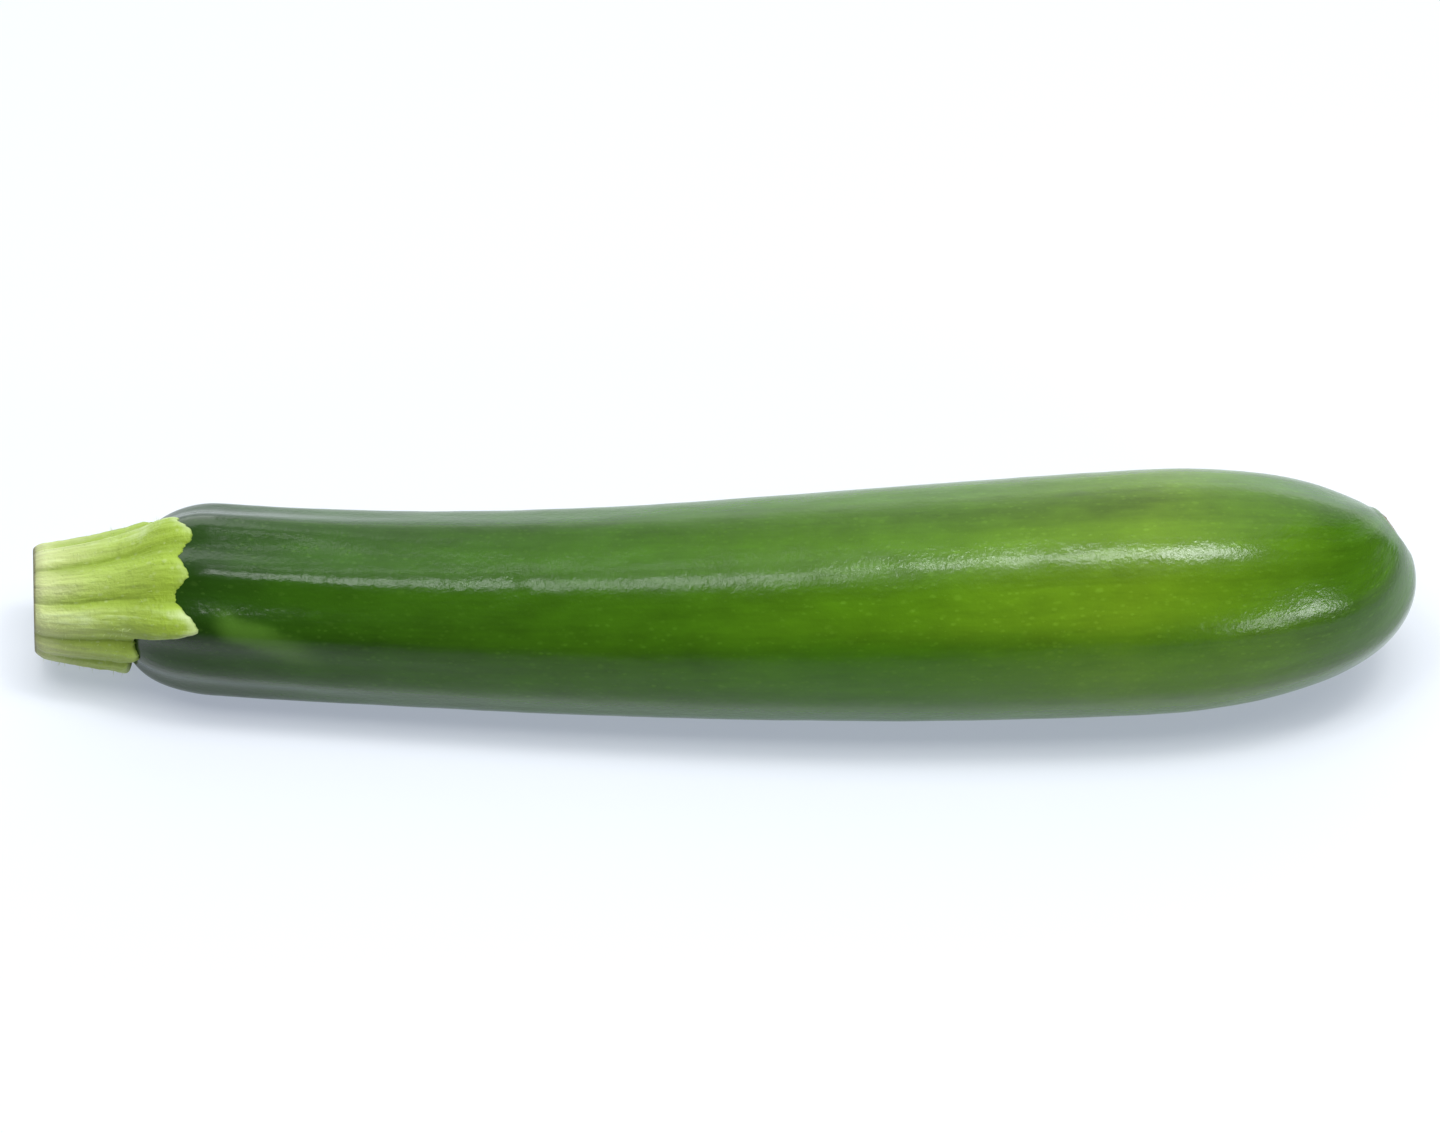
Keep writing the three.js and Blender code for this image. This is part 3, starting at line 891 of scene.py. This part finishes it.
def bristle_tree(grown_on, material):
    tree, sizes = new_tree("bristles", BRISTLE_SIZES)
    info = tree.nodes.new("GeometryNodeObjectInfo")
    info.inputs["Object"].default_value = grown_on

    # None grow on the cut or on the foot's very edge.
    furrow = stem_mark(tree, "furrow")
    on_flank = ramp(stem_mark(tree, "from_cut"), 0.6, 1.6) * ramp(stem_mark(tree, "to_edge"), 0.2, 0.8)
    density = sizes["Bristles per square millimetre"] * (1 / MM**2) * on_flank * (1 - furrow * 0.6)
    feeds = {"Mesh": Field(tree, info.outputs["Geometry"]), "Density": density, "Seed": BRISTLE_SEED}
    points = add_node(tree, "GeometryNodeDistributePointsOnFaces", feeds)
    spike = {"Vertices": 4, "Radius Top": 0, "Radius Bottom": 1, "Depth": 1}
    cone = add_node(tree, "GeometryNodeMeshCone", spike)
    lean = sizes["Lean"]
    least, most = vector(lean * -1, lean * -1, 0), vector(lean, lean, TAU)
    tilt = random_value(tree, "FLOAT_VECTOR", least, most, BRISTLE_SEED + 1)
    feeds = {"Rotation": Field(tree, points.outputs["Rotation"]), "Rotate By": tilt}
    turned = add_node(tree, "FunctionNodeRotateRotation", feeds, rotation_space="LOCAL")
    length = random_value(tree, "FLOAT", sizes["Shortest"], sizes["Longest"], BRISTLE_SEED + 2) * MM
    root = sizes["Root radius"] * MM
    feeds = {
        "Points": Field(tree, points.outputs["Points"]),
        "Instance": Field(tree, cone.outputs["Mesh"]),
        "Rotation": Field(tree, turned.outputs[0]),
        "Scale": vector(root, root, length),
    }
    spikes = add_node(tree, "GeometryNodeInstanceOnPoints", feeds)
    end_tree(tree, Field(tree, spikes.outputs[0]), material)
    return tree


def bristle_material():
    material, tree, shader = new_material("courgette_bristles")
    node = add_node(tree, "ShaderNodeTexCoord")
    place = Direction(tree, node.outputs["Object"])
    share = (noise(place, 900, detail=1) * 1.6 + 0.5).clamped()
    colour = colours_along(share, HAIR_COLOURS)
    tree.links.new(colour.socket, shader.inputs["Base Color"])
    shader.inputs["Roughness"].default_value = 0.4
    return material


clear_hair = bristle_material()
bristles = grow("stem_bristles", bristle_tree(stem, clear_hair), BRISTLE_SIZES, [clear_hair])
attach(bristles, "root")


# ---- the stage -------------------------------------------------------------------------------
# A plain white table that also glows a little, so that shadows stay pale. Softboxes hang overhead with
# gaps between them, and two more stand beside the tip. A bright wall behind the table and a dim room in
# front are what the waxy skin reflects. Places and sizes here are in metres.
TABLE_HALF = 4.0
TABLE_WHITE = 0.55
TABLE_GLOW = 0.42
GLOW_COLOUR = (0.75, 0.83, 1.0, 1)
LAMP_COLOUR = (0.97, 1.0, 1.02)


def stage_floor():
    mesh = bpy.data.meshes.new("floor")
    corners = [(x * TABLE_HALF, y * TABLE_HALF, 0) for x, y in ((-1, -1), (1, -1), (1, 1), (-1, 1))]
    mesh.from_pydata(corners, [], [(0, 1, 2, 3)])
    floor = bpy.data.objects.new("floor", mesh)
    bpy.context.scene.collection.objects.link(floor)
    material, tree, shader = new_material("white_table")
    shader.inputs["Roughness"].default_value = 0.9
    shader.inputs["Specular IOR Level"].default_value = 0.1
    shader.inputs["Emission Color"].default_value = GLOW_COLOUR
    ray = add_node(tree, "ShaderNodeLightPath")
    in_fill = Field(tree, ray.outputs["Is Diffuse Ray"])
    in_shine = Field(tree, ray.outputs["Is Glossy Ray"])
    place = Direction(tree, add_node(tree, "ShaderNodeTexCoord").outputs["Object"])
    x, y, _ = place.parts()
    nearer = y * -1

    # In the skin's shine the table is darker in front of the fruit and brighter past its tip. It lights
    # other things less than a table as white would.
    darker = ramp(nearer, 0.012, 0.05, "LINEAR") * 0.5 + ramp(nearer, 0.05, 0.2, "LINEAR") * 0.35
    shaded = in_shine * darker
    past_tip = in_shine * ramp(x, 0.08, 0.22, "LINEAR")
    white = TABLE_WHITE - in_fill * 0.12 - shaded * TABLE_WHITE
    glow = TABLE_GLOW - in_fill * 0.35 - shaded * TABLE_GLOW + past_tip * 0.7
    tree.links.new(vector(white, white, white).socket, shader.inputs["Base Color"])
    tree.links.new(glow.socket, shader.inputs["Emission Strength"])
    mesh.materials.append(material)


def softbox(name, place, aim, size, brightness, turn=0.0):
    """A rectangular light at a place, facing a point, turned about that line. Brightness is radiance."""
    data = bpy.data.lights.new(name, "AREA")
    data.shape = "RECTANGLE"
    data.size, data.size_y = size
    data.energy = brightness * math.pi * size[0] * size[1]
    data.color = LAMP_COLOUR
    lamp = bpy.data.objects.new(name, data)
    bpy.context.scene.collection.objects.link(lamp)
    lamp.location = place
    facing = (Vector(aim) - Vector(place)).to_track_quat("-Z", "Y").to_matrix().to_4x4()
    lamp.rotation_euler = (facing @ Matrix.Rotation(turn, 4, "Z")).to_euler()
    return lamp


def studio_world():
    """A white wall behind, brightest low down past the tip, and a dim room with a window far to the right."""
    world = bpy.data.worlds.new("studio")
    bpy.context.scene.world = world
    world.use_nodes = True
    tree = world.node_tree
    node = add_node(tree, "ShaderNodeTexCoord")
    right, back, up = Direction(tree, node.outputs["Generated"]).parts()
    behind = ramp(back, -0.05, 0.25) * (1 - ramp(right - back * 0.8, 0, 0.38))
    wall = ramp(right, -0.24, -0.08, "LINEAR") * 0.6 + 0.4
    wall = wall * (1 - ramp(up, 0.86, 0.98) * 0.45)
    wall = wall + (1 - ramp(up, -0.05, 0.3)) * (ramp(right, 0.12, 0.35) * 1.1 + 0.4)
    window = ramp(right, 0.8, 0.95) * (1 - ramp(up, 0.15, 0.4)) * 0.8
    light = between(window + 0.05, wall, behind)
    background = tree.nodes["Background"]
    colour = vector(light * 0.96, light, light * 1.02)
    tree.links.new(colour.socket, background.inputs["Color"])


stage_floor()
ground = (0, 0, 0)
tip = (0.09, 0, 0.03)
softbox("overhead_far_right", (0.30, -0.035, 1.0), ground, (0.18, 0.19), 15)
softbox("overhead_right", (0.154, -0.04, 1.0), ground, (0.106, 0.20), 9.3)
softbox("overhead_middle", (0.016, 0.012, 1.0), ground, (0.034, 0.19), 26)
softbox("overhead_left", (-0.195, -0.10, 1.0), ground, (0.13, 0.07), 13, math.radians(30))
softbox("overhead_end", (-0.236, -0.25, 1.0), ground, (0.065, 0.18), 12)
softbox("overhead_corner", (-0.214, 0.24, 1.0), ground, (0.035, 0.16), 7)
softbox("beside_tip", (0.748, -0.674, 0.383), tip, (0.25, 0.095), 18, math.radians(-3))
softbox("beside_tip_low", (0.55, -0.84, 0.29), tip, (0.24, 0.11), 7.5, math.radians(38))

# A white card stands behind the neck. Only the skin's shine shows it.
card = softbox("card_behind", (-0.155, 0.13, 0.15), (-0.155, 0, 0.15), (0.13, 0.24), 1.9)
card.visible_camera = False
card.visible_diffuse = False

# The room's own lamps light everything evenly from above. The skin's shine doesn't show them.
room_light = softbox("room_light", (0, -0.10, 1.1), ground, (1.3, 0.6), 4.1)
room_light.visible_glossy = False
studio_world()

# The camera looks down on the courgette from its -Y side.
ELEVATION = math.radians(50)
CAMERA_DISTANCE = 0.8586
AIM = Vector((0.0001, 0.0038, 0.02113))
FOCAL_LENGTH = 135
FILM_WIDTH = 36
lens = bpy.data.cameras.new("camera")
lens.lens = FOCAL_LENGTH
lens.sensor_width = FILM_WIDTH
camera = bpy.data.objects.new("camera", lens)
bpy.context.scene.collection.objects.link(camera)
towards_camera = Vector((0, -math.cos(ELEVATION), math.sin(ELEVATION)))
camera.location = AIM + towards_camera * CAMERA_DISTANCE
camera.rotation_euler = (-towards_camera).to_track_quat("-Z", "Y").to_euler()
bpy.context.scene.camera = camera
bpy.context.scene.view_settings.view_transform = "Standard"
